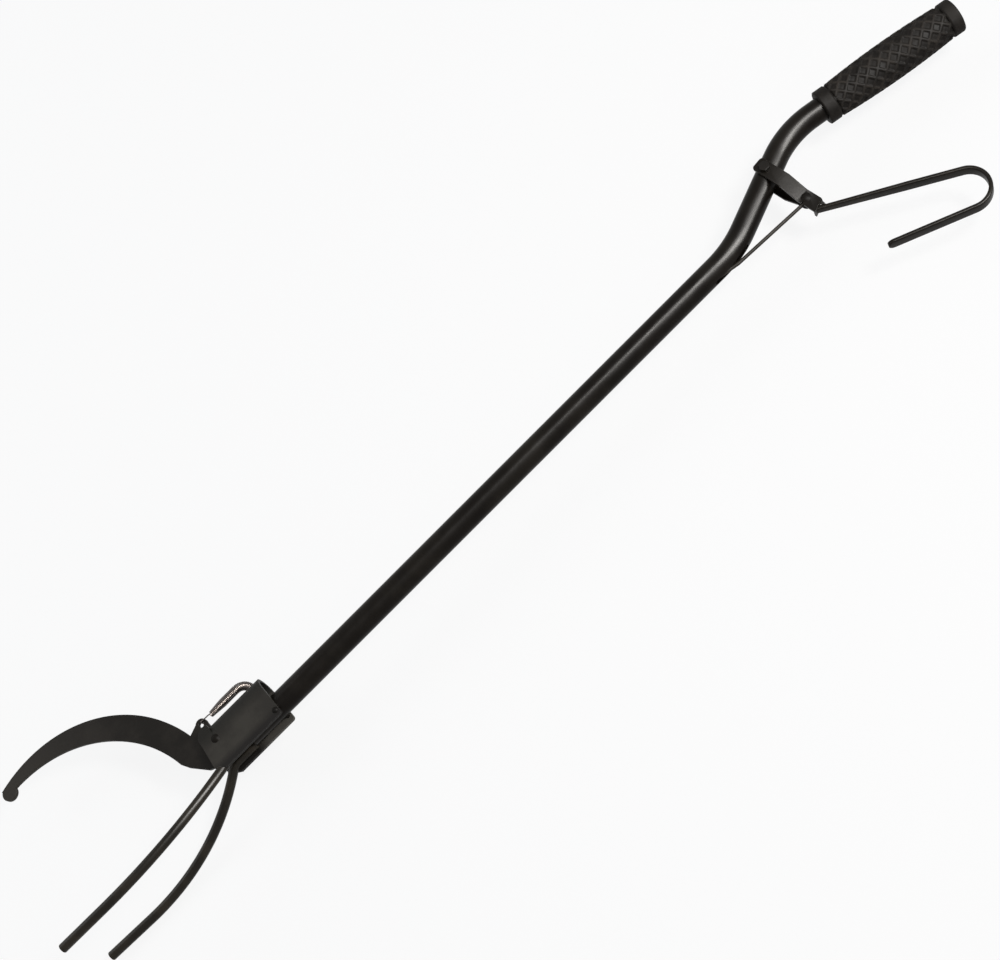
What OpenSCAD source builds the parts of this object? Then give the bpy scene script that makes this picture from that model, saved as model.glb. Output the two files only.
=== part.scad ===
// One-hand fireplace tongs, lying on their side.
// X runs along the shaft towards the handle, Y towards the spring side, Z across the tongs.
// The origin is on the shaft's axis, half-way along its straight run.

/* [Shaft tube] */
// Length of the straight run, from the tube's front end to the corner of the first bend
shaft_len = 547.2; // [400:0.1:800]
// Outer diameter of the tube
tube_od = 20.4; // [18:0.1:24]
// Wall of the tube
tube_wall = 1.5; // [1:0.1:1.7]
// Angle that the neck rises from the shaft
neck_rise = 22.3; // [16:0.1:28]
// Length of the neck, from bend corner to bend corner
neck_len = 110.6; // [100:0.1:160]
// Centreline radius of the first bend
neck_bend_r = 100; // [80:1:110]
// Angle that the handle drops below the shaft's direction
handle_drop = 11.6; // [8:0.1:16]
// Centreline radius of the second bend
handle_bend_r = 80; // [60:1:90]
// Straight distance from the second bend's corner to the grip
handle_lead = 33.7; // [30:0.1:60]
// Length of the rod's slot in the underside of the tube
slot_len = 41; // [38:0.5:48]
// Width of the rod's slot
slot_w = 4.4; // [4:0.1:6]
// How far the slot starts ahead of the first bend's corner
slot_lead = 29.2; // [27:0.1:32]

/* [Grip] */
// Length of the grip
grip_len = 128.6; // [100:0.1:160]
// Rubber over the tube at both ends of the patterned part
grip_wall = 4.45; // [3:0.05:7]
// How much thicker the patterned part is in the middle
grip_swell = 2; // [0.5:0.1:3]
// Rubber over the tube at the smooth collars
collar_wall = 4.7; // [3:0.05:7]
// Length of each smooth collar
collar_len = 10.8; // [6:0.1:16]
// Thickness of the grip's closed end
grip_end_wall = 6; // [3:0.1:10]
// Rounding of the closed end's rim
grip_end_round = 1.5; // [0.5:0.1:2.5]

/* [Head channel] */
// Thickness of the folded sheet
sheet = 3; // [2.5:0.1:3.2]
// Length of tube held in the channel
head_overlap = 35.1; // [34:0.1:37]
// Inside height of the half-round crown above the shaft's axis
crown_height = 26; // [25.7:0.1:26.5]
// How far the cheeks reach below the shaft's axis
skirt = 12.5; // [12:0.1:13]
// Distance from the tube's front end to the front end of the cheeks' lower edge
cheek_foot = 25.1; // [23:0.1:27]
// Distance from the tube's front end to the cheeks' nose
cheek_nose = 34.7; // [33.5:0.1:37]
// Height of the cheeks' nose above their lower edge
nose_rise = 6.4; // [5.5:0.1:7]
// Rounding of the cheeks' rear lower corner
cheek_corner_r = 2.5; // [1:0.1:4]
// Radius of the ears over the jaw pin
ear_r = 9.4; // [9:0.1:10]
// Distance of the ears' centre ahead of the jaw pin
ear_lead = 3; // [2:0.1:4]
// Height of the ears' centre above the jaw pin
ear_rise = 5.8; // [5:0.1:6.5]
// Diameter of the cross rivet that holds the tube
cross_rivet_d = 3; // [2.5:0.1:3.5]
// Depth of the cross rivet below the shaft's axis
cross_rivet_drop = 7.2; // [6.8:0.1:7.6]
// Distance of the cross rivet from the cheeks' rear edge
cross_rivet_back = 3.2; // [3:0.1:6]

/* [Tines] */
// Diameter of the tine bar
tine_d = 8; // [7:0.1:8.2]
// Depth of the tine roots below the shaft's axis
tine_drop = 6; // [6:0.1:7]
// Gap between the tube's front end and the tine roots
tine_gap = 1; // [0.5:0.1:3]
// Straight length of each root
tine_root = 19.8; // [16:0.1:24]
// Radius of the sharp outward bend
tine_bend_r = 14; // [10:0.5:20]
// Angle of the sharp outward bend
tine_splay = 35; // [25:0.5:38]
// Radius of the long inward curve
tine_curve_r = 220; // [150:1:300]
// Angle of the long inward curve
tine_curve = 37; // [27:0.5:40]
// Straight length at each tip
tine_tip = 44.8; // [20:0.1:80]
// Tilt of each tine's own plane
tine_tilt = 45; // [35:1:55]

/* [Jaw] */
// Distance of the jaw pin ahead of the tube's front end
pin_lead = 19.6; // [18:0.1:21]
// Height of the jaw pin above the shaft's axis
pin_rise = 12.9; // [12.5:0.1:13.3]
// Diameter of the jaw pin
pin_d = 5; // [4:0.1:6]
// Thickness of the jaw plate
jaw_t = 3.5; // [3:0.1:3.6]
// Reach of the jaw's toe ahead of the pin
jaw_reach = 167; // [150:0.5:190]
// Rise of the jaw's toe above the pin
jaw_rise = 107.4; // [90:0.5:120]
// Radius of the round toe
toe_r = 6.8; // [5:0.1:8]
// Radius of the blade's back edge
back_edge_r = 121.8; // [115:0.1:160]
// Radius of the blade's gripping edge
grip_edge_r = 119.3; // [110:0.1:150]
// Radius of the jaw's hub round the pin
hub_r = 7; // [6:0.1:7.2]
// Height of the spring's lug above the pin
lug_rise = 24.2; // [24:0.1:25]
// Radius of the lug
lug_r = 5.3; // [4.5:0.1:6]
// Diameter of the lug's hole
lug_hole_d = 4.6; // [3.5:0.1:5]
// Distance from the pin to the pull rod's hole
tail_arm = 13.8; // [13.4:0.1:14]
// Half of the angle that the jaw swings through
half_swing = 24; // [20:0.5:25]
// Radius of the tail round the rod's hole
tail_r = 5; // [4.5:0.1:5.5]
// Outer diameter of the spacers beside the jaw
spacer_d = 10; // [9:0.1:12]

/* [Spring] */
// Outer diameter of the coil
coil_od = 7.6; // [7:0.1:7.8]
// Outer diameter of the coil at its narrow front end
coil_front_od = 4.4; // [4:0.1:6]
// Length over which the coil widens
coil_taper = 16; // [10:0.5:20]
// Diameter of the spring wire
wire_d = 1; // [0.8:0.05:1]
// Number of curls, to a quarter turn
curls = 23.75; // [20.75:1:23.75]
// Height of the coil's axis above the shaft's axis
coil_rise = 38.4; // [38:0.1:38.6]
// Gap between the lug's edge and the coil
coil_lead = 5.8; // [4:0.1:8]
// Length of the coil's straight run
coil_run = 28; // [26:0.1:34]
// Radius of the coil's bend
coil_bend_r = 11.3; // [11:0.1:11.8]
// Angle of the coil's bend
coil_bend = 85; // [83:1:87]

/* [Pull rod] */
// Diameter of the rod
rod_d = 3; // [2.5:0.1:3]
// Outer diameter of the rod's eye
eye_d = 9; // [8:0.1:10]
// Width of the rod's eye
eye_w = 3.2; // [3.1:0.1:3.4]
// Centreline radius of the hook in the jaw's tail
hook_r = 2.2; // [2:0.1:2.3]
// Diameter of the rod's hole in the jaw
hook_hole_d = 4.4; // [4.3:0.1:4.6]
// Depth of the rod, where it enters the slot, below the shaft's axis
rod_slot_drop = 11; // [10.6:0.1:11.4]
// Depth of the rod inside the tube, behind the joggle
rod_tube_drop = 7; // [6.4:0.1:7.1]
// Diameter of the keeper washer on the hook
keeper_d = 6; // [5.5:0.1:6]

/* [Trigger] */
// Distance of the pivot bolt along the neck, from the first bend's corner
bolt_along = 70.6; // [68:0.1:74]
// Diameter of the pivot bolt
bolt_d = 5; // [4:0.1:6]
// Size of the bolt's hexagon across its flats
hex_flats = 8; // [7:0.1:9]
// Lean of the straps towards the handle
strap_lean = 5.3; // [3:0.1:8]
// Width of the straps
strap_w = 12.4; // [11:0.1:14]
// Thickness of the straps
strap_t = 2; // [1.5:0.1:2.5]
// Length of the straps behind the bolt
strap_back = 8.8; // [7:0.1:11]
// Distance from the bolt to the start of the joggle
joggle_start = 19.8; // [17:0.1:22]
// Distance from the bolt to the end of the joggle
joggle_end = 36; // [33:0.1:36.5]
// Distance from the bolt to the rod's rivet
rivet_arm = 40.8; // [40:0.1:43]
// Diameter of the rod's rivet
rivet_d = 4; // [3:0.1:5]
// Distance from the bolt to the folded end of the near strap
fold_arm = 53.7; // [52:0.1:58]
// Slant of the folded end
fold_slant = 16.3; // [8:0.1:20]

/* [Squeeze lever] */
// Direction of the lever's upper leg below the shaft's direction
lever_drop = 34.9; // [30:0.1:40]
// Length of the upper leg
lever_upper = 113.2; // [90:0.1:130]
// Length of the lower leg
lever_lower = 71; // [50:0.1:85]
// Centreline radius of the lever's bend
lever_bend_r = 17.5; // [14:0.1:24]
// Angle of the lever's bend
lever_bend = 170.2; // [160:0.1:176]
// Thickness of the lever's strip
lever_t = 3.4; // [2.5:0.1:4]
// Width of the lever's strip
lever_w = 10; // [8:0.1:14]
// Width of the strip at its root
lever_root_w = 7; // [5:0.1:8]
// Length over which the root widens
lever_taper = 70; // [40:1:80]

/* [Fits] */
// Radial clearance of holes that turn on a pin
turn_gap = 0.08; // [0.04:0.01:0.1]
// Radial clearance of holes that are fixed to a pin
still_gap = 0.02; // [0.01:0.01:0.04]
// Clearance of the notches round the tines
notch_gap = 0.06; // [0.04:0.01:0.1]
// Side clearance between plates that move past each other
side_gap = 0.3; // [0.2:0.05:0.4]
// Thickness of rivet heads and of the keeper
head_t = 1.5; // [1:0.1:2]

/* [Hidden] */
$fn = 64;
// How far a cut runs past what it cuts
cut = 1;
// Straight runs reach this far into the bends, which are thicker by the swell all round
lap = 0.4;
bar_swell = 0.02;
tube_swell = 0.16;
tube_r = tube_od / 2;
tube_id = tube_od - 2 * tube_wall;
tube_front = -shaft_len / 2;
bend_x = shaft_len / 2;
neck_tangent = neck_bend_r * tan(neck_rise / 2);
handle_turn = neck_rise + handle_drop;
handle_tangent = handle_bend_r * tan(handle_turn / 2);
tube_tail = handle_lead - handle_tangent + grip_len - grip_end_wall;

// Half width of the channel inside and outside
cheek_in = tube_r;
cheek_out = cheek_in + sheet;
crown_y = crown_height - cheek_in;
cheek_back = tube_front + head_overlap;
pin_x = tube_front - pin_lead;
pin_y = pin_rise;
pin_head_d = 1.5 * pin_d;
rivet_x = cheek_back - cross_rivet_back;

// Jaw outline, measured from the pin
lug_x = 0.2 - lug_r;
crown_front = pin_x + lug_x + lug_r + side_gap;
back_root = [-18.3, 25.5];
grip_root = [-38, 11.1];
back_tip = [-jaw_reach - 5.2, jaw_rise + 5.6];
grip_tip = [-jaw_reach + 12.7, jaw_rise - 0.3];
heel = [[-34.3, 4.3], [-22.3, -10.3]];
valley = [-16.4, 24.6];
tail = tail_arm * [-sin(half_swing), -cos(half_swing)];

// The rod rests a little below the middle of its hole, which shares out its play over the swing
hook_play = 0.4;
hook_x = pin_x + tail[0];
hook_y = pin_y + tail[1] - hook_play;
hook_clear = 0.25;
hook_z = -(jaw_t / 2 + hook_clear + hook_r);
keeper_t = 0.8;
hook_end = jaw_t / 2 + hook_clear + keeper_t + 0.5;
joggle_back = bend_x - 5.1;
joggle_front = bend_x - 24.2;

bolt_x = bend_x + bolt_along * cos(neck_rise);
bolt_y = bolt_along * sin(neck_rise);
strap_in = tube_r + side_gap;
strap_out = strap_in + strap_t;
fork_in = eye_w / 2 + 0.5;
fork_out = fork_in + strap_t;
bolt_head_t = 3.5;
nut_t = 4.2;
washer_t = 1;
rivet_head_d = 2.1 * rivet_d;
fold_back = strap_w / 2 * tan(fold_slant);
// Place of the lever's root across the folded end
lever_root_v = -1.93;

coil_r = (coil_od - wire_d) / 2;
coil_x = pin_x + coil_lead;
coil_arc = PI * coil_bend_r * coil_bend / 180;
coil_front_r = (coil_front_od - wire_d) / 2;
coil_len = coil_run + coil_arc;
rings = 8;
sides = 6;

// Point at an angle on a circle
function polar(r, a) = r * [cos(a), sin(a)];
function unit(v) = v / norm(v);
// Centre of the circle of radius r through p and q, on the left of the way from p to q
function arc_centre(p, q, r) =
    (p + q) / 2 + sqrt(r * r - norm(q - p) * norm(q - p) / 4) * unit([p[1] - q[1], q[0] - p[0]]);
// Corners of a wedge with its point at c, from angle a to angle b
function wedge(c, r, a, b) = concat([c], [for (i = [0:4]) c + polar(r, a + (b - a) * i / 4)]);

// Round section of a bar or tube
module round_section(d, bore) {
    difference() {
        circle(d = d);
        if (bore > 0)
            circle(d = bore);
    }
}

// A straight run along x, with what follows set on its end
module straight(len, d, bore = 0, lap_start = 0, lap_end = 0) {
    translate([-lap_start, 0, 0])
        rotate([90, 0, 90])
            linear_extrude(lap_start + len + lap_end)
                round_section(d, bore);
    translate([len, 0, 0])
        children();
}

// A bend in the XY plane, to the left for a positive angle, with what follows set on its end
module bend(r, angle, d, bore = 0) {
    turn = sign(angle);
    swell = bore > 0 ? tube_swell : bar_swell;
    translate([0, turn * r, 0])
        rotate([0, 0, turn > 0 ? -90 : 90 + angle])
            rotate_extrude(angle = abs(angle), $fn = 360)
                translate([r, 0])
                    round_section(d + 2 * swell, bore - 2 * swell, $fn = 64);
    translate([r * sin(abs(angle)), turn * r * (1 - cos(angle)), 0])
        rotate([0, 0, angle])
            children();
}

// A round head that stands on the XY plane
module round_head(d, h) {
    ball_r = (d * d / 4 + h * h) / (2 * h);
    intersection() {
        translate([0, 0, h - ball_r])
            sphere(ball_r, $fn = 128);
        cylinder(d = d + 1, h = h + 1);
    }
}

// A rivet across the tongs, with a round head on both sides of a grip of half width z
module cross_rivet(d, head_d, z) {
    cylinder(d = d, h = 2 * z, center = true);
    for (side = [0, 1])
        mirror([0, 0, side])
            translate([0, 0, z])
                round_head(head_d, head_t);
}

// A flat ring with its lower face at height z
module ring(d, bore, z, t) {
    translate([0, 0, z])
        linear_extrude(t)
            round_section(d, bore);
}

// Where the jaw and the trigger turn
module at_pin() {
    translate([pin_x, pin_y, 0])
        children();
}

module at_bolt() {
    translate([bolt_x, bolt_y, 0])
        children();
}

// Frame of the straps: x runs from the bolt down the straps
module at_straps() {
    at_bolt()
        rotate([0, 0, strap_lean - 90])
            children();
}

// Frame of the grip: x runs from its front end towards the closed end
module at_grip() {
    translate([bend_x, 0, 0])
        rotate([0, 0, neck_rise])
            translate([neck_len, 0, 0])
                rotate([0, 0, -handle_turn])
                    translate([handle_lead, 0, 0])
                        children();
}

module rod_slot() {
    depth = tube_r + 4;
    middle = slot_len - slot_w;
    translate([bend_x - slot_lead + slot_w / 2, -cut, 0])
        rotate([90, 0, 0]) {
            translate([0, -slot_w / 2, 0])
                cube([middle, slot_w, depth]);
            for (x = [0, middle])
                translate([x, 0, 0])
                    cylinder(d = slot_w, h = depth);
        }
}

module shaft_tube() {
    color("#262422")
        difference() {
            translate([tube_front, 0, 0])
                straight(shaft_len - neck_tangent, tube_od, tube_id, 0, lap)
                    bend(neck_bend_r, neck_rise, tube_od, tube_id)
                        straight(neck_len - neck_tangent - handle_tangent, tube_od, tube_id, lap, lap)
                            bend(handle_bend_r, -handle_turn, tube_od, tube_id)
                                straight(tube_tail, tube_od, tube_id, lap, 0);
            rod_slot();
            at_bolt()
                cylinder(d = bolt_d + 2 * still_gap, h = tube_od + 2 * cut, center = true);
            translate([rivet_x, -cross_rivet_drop, 0])
                cylinder(d = cross_rivet_d + 2 * still_gap, h = tube_od + 2 * cut, center = true);
        }
}

// Half section of the grip, x along it and y outwards
module grip_half() {
    body_len = grip_len - 2 * collar_len;
    body_r = tube_r + grip_wall;
    collar_r = tube_r + collar_wall;
    swell_r = (body_len * body_len / 4 + grip_swell * grip_swell) / (2 * grip_swell);
    difference() {
        union() {
            square([collar_len, collar_r]);
            translate([collar_len, 0])
                square([body_len, body_r]);
            intersection() {
                translate([collar_len + body_len / 2, body_r + grip_swell - swell_r])
                    circle(swell_r, $fn = 1440);
                translate([collar_len, body_r - cut])
                    square([body_len, grip_swell + 2 * cut]);
            }
            translate([grip_len - collar_len, 0]) {
                square([collar_len, collar_r - grip_end_round]);
                square([collar_len - grip_end_round, collar_r]);
                translate([collar_len - grip_end_round, collar_r - grip_end_round])
                    circle(grip_end_round);
            }
        }
        translate([-cut, -cut])
            square([grip_len - grip_end_wall + cut, tube_r + still_gap + cut]);
    }
}

module hand_grip() {
    color("#171717")
        at_grip()
            rotate([0, 90, 0])
                rotate_extrude()
                    rotate([0, 0, 90])
                        mirror([0, 1])
                            grip_half();
}

// Side view of one cheek, with its ear ahead of the crown
module cheek_side() {
    corner = cheek_corner_r;
    ear = [pin_x - ear_lead, pin_y + ear_rise];
    inside = 0.97;
    difference() {
        union() {
            polygon([
                [cheek_back, crown_y],
                [cheek_back, -skirt + corner],
                [cheek_back - corner, -skirt + corner],
                [cheek_back - corner, -skirt],
                [tube_front - cheek_foot, -skirt],
                [tube_front - cheek_nose, -skirt + nose_rise],
                ear + polar(inside * ear_r, 176),
                [crown_front, crown_y]
            ]);
            translate([cheek_back - corner, -skirt + corner])
                circle(corner);
            difference() {
                translate(ear)
                    circle(ear_r);
                translate([crown_front + lap, crown_y])
                    square(2 * ear_r);
            }
        }
        translate([rivet_x, -cross_rivet_drop])
            circle(d = cross_rivet_d + 2 * still_gap);
    }
}

// Section of the crown, x across the tongs and y up
module crown_section() {
    translate([0, crown_y]) {
        intersection() {
            difference() {
                circle(cheek_out);
                circle(cheek_in);
            }
            translate([-cheek_out - cut, 0])
                square([2 * (cheek_out + cut), cheek_out + cut]);
        }
        for (side = [0, 1])
            mirror([side, 0])
                translate([cheek_in, -cut])
                    square([sheet, cut]);
    }
}

module head_channel() {
    color("#2a2826")
        difference() {
            union() {
                for (side = [0, 1])
                    mirror([0, 0, side])
                        translate([0, 0, cheek_in])
                            linear_extrude(sheet)
                                cheek_side();
                translate([cheek_back, 0, 0])
                    rotate([0, -90, 0])
                        linear_extrude(cheek_back - crown_front)
                            crown_section();
            }
            translate([pin_x, pin_y, -cheek_out - cut])
                cylinder(d = pin_d + 2 * still_gap, h = 2 * (cheek_out + cut));
            // The spring's bent end goes down through a round hole in the crown
            translate([coil_axis(coil_len)[0], crown_height + sheet + cut, 0])
                rotate([90, 0, 0])
                    cylinder(d = coil_od + 1.4, h = 2 * sheet);
            // The tines leave through notches in the cheeks' lower edges
            for (side = [0, 1])
                mirror([0, 0, side])
                    at_tine()
                        tine_bar(tine_d + 2 * notch_gap, notch_gap);
        }
}

// One tine, starting along +x, with its curve in the XY plane
module tine_bar(d, lap_start = 0) {
    straight(tine_root, d, 0, lap_start, lap)
        bend(tine_bend_r, tine_splay, d)
            straight(1, d, 0, lap, lap)
                bend(tine_curve_r, -tine_curve, d)
                    straight(tine_tip, d, 0, lap, 0);
}

// Frame of the near tine: x runs from its root towards the tip
module at_tine() {
    translate([tube_front - tine_gap, -tine_drop, cheek_in - tine_d / 2])
        rotate([-tine_tilt, 0, 0])
            rotate([0, 0, 180])
                children();
}

module near_tine() {
    color("#242220")
        at_tine()
            tine_bar(tine_d);
}

module far_tine() {
    mirror([0, 0, 1])
        near_tine();
}

module channel_rivet() {
    color("#2c2a28")
        translate([rivet_x, -cross_rivet_drop, 0])
            cross_rivet(cross_rivet_d, 1.8 * cross_rivet_d, cheek_out);
}

module jaw_pin() {
    color("#2c2a28")
        at_pin()
            cross_rivet(pin_d, pin_head_d, cheek_out);
}

module near_spacer() {
    seat = jaw_t / 2 + side_gap / 2;
    color("#33302e")
        at_pin()
            ring(spacer_d, pin_d + 2 * still_gap, seat, cheek_in - side_gap - seat);
}

module far_spacer() {
    mirror([0, 0, 1])
        near_spacer();
}

// Flat outline of the jaw, measured from the pin
module jaw_outline() {
    back_c = arc_centre(back_root, back_tip, back_edge_r);
    grip_c = arc_centre(grip_root, grip_tip, grip_edge_r);
    root_way = grip_root - back_c;
    tip_way = back_tip - back_c;
    tail_side = polar(1, atan2(-tail[1], -tail[0]) - 90);
    inside = 0.97;
    difference() {
        intersection() {
            translate(back_c)
                circle(back_edge_r, $fn = 720);
            polygon(wedge(back_c, 1.2 * back_edge_r, atan2(root_way[1], root_way[0]) + 0.5,
                          atan2(tip_way[1], tip_way[0])));
        }
        translate(grip_c)
            circle(grip_edge_r, $fn = 720);
    }
    translate([-jaw_reach, jaw_rise])
        circle(toe_r);
    circle(hub_r);
    translate([lug_x, lug_rise])
        circle(lug_r);
    translate(tail)
        circle(tail_r);
    // Its corners on round parts lie a little inside them, and the first one is cut off by the grip edge
    difference() {
        polygon(concat([grip_root + 2 * unit(grip_root - heel[0])], heel, [
            tail + polar(inside * tail_r, -125),
            tail + inside * tail_r * tail_side,
            inside * hub_r * tail_side,
            [lug_x + inside * lug_r, 0],
            [lug_x + inside * lug_r, lug_rise],
            [lug_x, lug_rise] + polar(inside * lug_r, 137),
            valley
        ]));
        translate(grip_c)
            circle(grip_edge_r, $fn = 720);
    }
}

module jaw() {
    color("#2b2927")
        at_pin()
            linear_extrude(jaw_t, center = true)
                difference() {
                    jaw_outline();
                    circle(d = pin_d + 2 * turn_gap);
                    translate([lug_x, lug_rise])
                        circle(d = lug_hole_d);
                    translate(tail)
                        circle(d = hook_hole_d);
                }
}

// Place and heading of the coil's axis, s along it
function coil_turned(s) = coil_bend * min(1, max(0, (s - coil_run) / coil_arc));
function coil_axis(s) =
    let (a = coil_turned(s))
    [coil_x + min(s, coil_run) + coil_bend_r * sin(a), coil_rise - coil_bend_r * (1 - cos(a)), 0];
function coil_way(s) = [cos(coil_turned(s)), -sin(coil_turned(s)), 0];
function coil_side(s) = [sin(coil_turned(s)), cos(coil_turned(s)), 0];
// The coil is narrow at the lug and widens to its full radius
function coil_radius(s) = coil_front_r + (coil_r - coil_front_r) * min(1, s / coil_taper);
// The wire's tail leaves the coil on its outer side and goes down through the crown
function tail_start() = coil_axis(coil_len) + coil_r * coil_side(coil_len);

// Each station of the wire is its centre, its direction and a side direction square to it
function coil_station(i) =
    let (s = coil_len * i / (curls * rings), a = 90 + 360 * i / rings, r = coil_radius(s),
         out = cos(a) * coil_side(s) + sin(a) * [0, 0, 1],
         round = -sin(a) * coil_side(s) + cos(a) * [0, 0, 1])
    [coil_axis(s) + r * out, unit(coil_len / curls * coil_way(s) + 2 * PI * r * round), out];

module return_spring() {
    hook_bend = 0.9;
    hook_len = 3.5;
    // The hook rests against the upper rear of the lug's hole
    hole_reach = (lug_hole_d - wire_d) / 2 - 0.15;
    hole_off = coil_rise - pin_y - lug_rise;
    lug_wire_x = pin_x + lug_x + sqrt(hole_reach * hole_reach - hole_off * hole_off);
    lug_side = jaw_t / 2 + wire_d + 0.1;
    under_y = crown_height - wire_d / 2 - side_gap;
    tail_len = (tail_start()[1] - under_y - hook_bend * (1 - cos(coil_bend))) / sin(coil_bend);
    tail_turn = tail_start() + tail_len * coil_way(coil_len);
    hook = concat(
        [for (z = [-lug_side, -lug_side + wire_d]) [[lug_wire_x, coil_rise, z], [0, 0, 1], [-1, 0, 0]]],
        [for (a = [0:30:90])
            [[lug_wire_x + hook_bend * (1 - cos(a)), coil_rise, lug_side - hook_bend * (1 - sin(a))],
             [sin(a), 0, cos(a)], [-cos(a), 0, sin(a)]]],
        [[[coil_x - wire_d, coil_rise, coil_front_r], [1, 0, 0], [0, 0, 1]]]
    );
    turns = [for (i = [0:curls * rings]) coil_station(i)];
    end = concat(
        [[(tail_start() + tail_turn) / 2, coil_way(coil_len), coil_side(coil_len)]],
        [for (k = [0:3])
            let (a = coil_bend * (1 - k / 3))
            [[tail_turn[0], under_y, 0] + hook_bend * [sin(coil_bend) - sin(a), 1 - cos(a), 0],
             [cos(a), -sin(a), 0], [sin(a), cos(a), 0]]],
        [[[tail_turn[0] + hook_bend * sin(coil_bend) + hook_len, under_y, 0], [1, 0, 0], [0, 1, 0]]]
    );
    stations = concat(hook, turns, end);
    skins = [for (st = stations)
        for (k = [0:sides - 1])
            let (a = 360 * k / sides)
            st[0] + wire_d / 2 * (cos(a) * st[2] + sin(a) * cross(st[1], st[2]))];
    last = len(stations) - 1;
    faces = concat(
        [for (k = [1:sides - 2]) [0, k, k + 1]],
        [for (k = [1:sides - 2]) [last * sides, last * sides + k + 1, last * sides + k]],
        [for (i = [0:last - 1])
            for (k = [0:sides - 1])
                each [[i * sides + k, (i + 1) * sides + k, (i + 1) * sides + (k + 1) % sides],
                      [i * sides + k, (i + 1) * sides + (k + 1) % sides, i * sides + (k + 1) % sides]]]
    );
    least = min([for (i = [0:len(turns) - 1])
        for (j = [i + rings - 2:1:min(i + rings + 2, len(turns) - 1)])
            norm(turns[i][0] - turns[j][0])]);
    echo(least_gap_between_curls = least - wire_d);
    color("#c9c9c9")
        polyhedron(points = skins, faces = faces);
}

module pivot_bolt() {
    top = strap_out + side_gap / 3;
    bottom = top + washer_t + nut_t + 1.5;
    color("#302d2b")
        at_bolt() {
            translate([0, 0, -bottom])
                cylinder(d = bolt_d, h = top + bottom);
            translate([0, 0, top])
                cylinder(d = hex_flats / cos(30), h = bolt_head_t, $fn = 6);
        }
}

module pivot_washer() {
    color("#302d2b")
        at_bolt()
            ring(2 * bolt_d, bolt_d + 2 * still_gap, -strap_out - side_gap / 3 - washer_t, washer_t);
}

module pivot_nut() {
    color("#302d2b")
        at_bolt()
            translate([0, 0, -strap_out - side_gap / 3 - washer_t - nut_t])
                linear_extrude(nut_t)
                    difference() {
                        circle(d = hex_flats / cos(30), $fn = 6);
                        circle(d = bolt_d + 2 * still_gap);
                    }
}

// Edge view of a strap, x down the strap and y across the tongs
module strap_edge(len) {
    bevel = strap_t * tan(atan2(strap_in - fork_in, joggle_end - joggle_start) / 2);
    polygon([
        [-strap_back, strap_in],
        [joggle_start, strap_in],
        [joggle_end, fork_in],
        [len, fork_in],
        [len, fork_out],
        [joggle_end + bevel, fork_out],
        [joggle_start + bevel, strap_out],
        [-strap_back, strap_out]
    ]);
}

// Rear part of a strap's face view, with its two rounded corners
module strap_rear(len) {
    corner = 3;
    translate([corner - strap_back, -strap_w / 2])
        square([len + strap_back - corner, strap_w]);
    translate([-strap_back, corner - strap_w / 2])
        square([corner, strap_w - 2 * corner]);
    for (y = [-1, 1])
        translate([corner - strap_back, y * (strap_w / 2 - corner)])
            circle(corner);
}

// A joggled strip cut to the face view that is given
module strap(len) {
    difference() {
        intersection() {
            rotate([90, 0, 0])
                linear_extrude(strap_w + 2 * cut, center = true)
                    strap_edge(len);
            linear_extrude(strap_out + cut)
                children();
        }
        cylinder(d = bolt_d + 2 * turn_gap, h = strap_out + cut);
        translate([rivet_arm, 0, 0])
            cylinder(d = rivet_d + 2 * still_gap, h = strap_out);
    }
}

// Face view of the near strap's slanted end, from the outer face inwards by depth
module slanted_end(depth) {
    inward = depth / cos(fold_slant);
    polygon([
        [fold_arm + fold_back, -strap_w / 2],
        [fold_arm - fold_back, strap_w / 2],
        [fold_arm - fold_back - inward, strap_w / 2],
        [fold_arm + fold_back - inward, -strap_w / 2]
    ]);
}

module near_strap() {
    color("#2d2b29")
        at_straps() {
            strap(fold_arm + strap_w) {
                strap_rear(rivet_arm);
                slanted_end(fold_arm - rivet_arm);
            }
            translate([0, 0, -fork_out])
                linear_extrude(2 * fork_out)
                    slanted_end(strap_t);
        }
}

module far_strap() {
    color("#2d2b29")
        at_straps()
            mirror([0, 0, 1])
                strap(rivet_arm + strap_w) {
                    strap_rear(rivet_arm);
                    translate([rivet_arm, 0])
                        circle(strap_w / 2);
                }
}

module rod_rivet() {
    color("#2e2c2a")
        at_straps()
            translate([rivet_arm, 0, 0])
                cross_rivet(rivet_d, rivet_head_d, fork_out);
}

// Frame of the lever: x runs from its root along the upper leg
module at_lever() {
    at_straps()
        translate([fold_arm - lever_root_v * tan(fold_slant), lever_root_v, 0])
            rotate([0, 0, 90 - strap_lean - lever_drop])
                children();
}

// What lies behind the outer face of the folded end
module behind_fold() {
    at_straps()
        translate([0, 0, -lever_w])
            linear_extrude(2 * lever_w)
                translate([fold_arm, 0])
                    rotate(fold_slant)
                        translate([-2 * strap_w, -2 * strap_w])
                            square([2 * strap_w, 4 * strap_w]);
}

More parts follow.
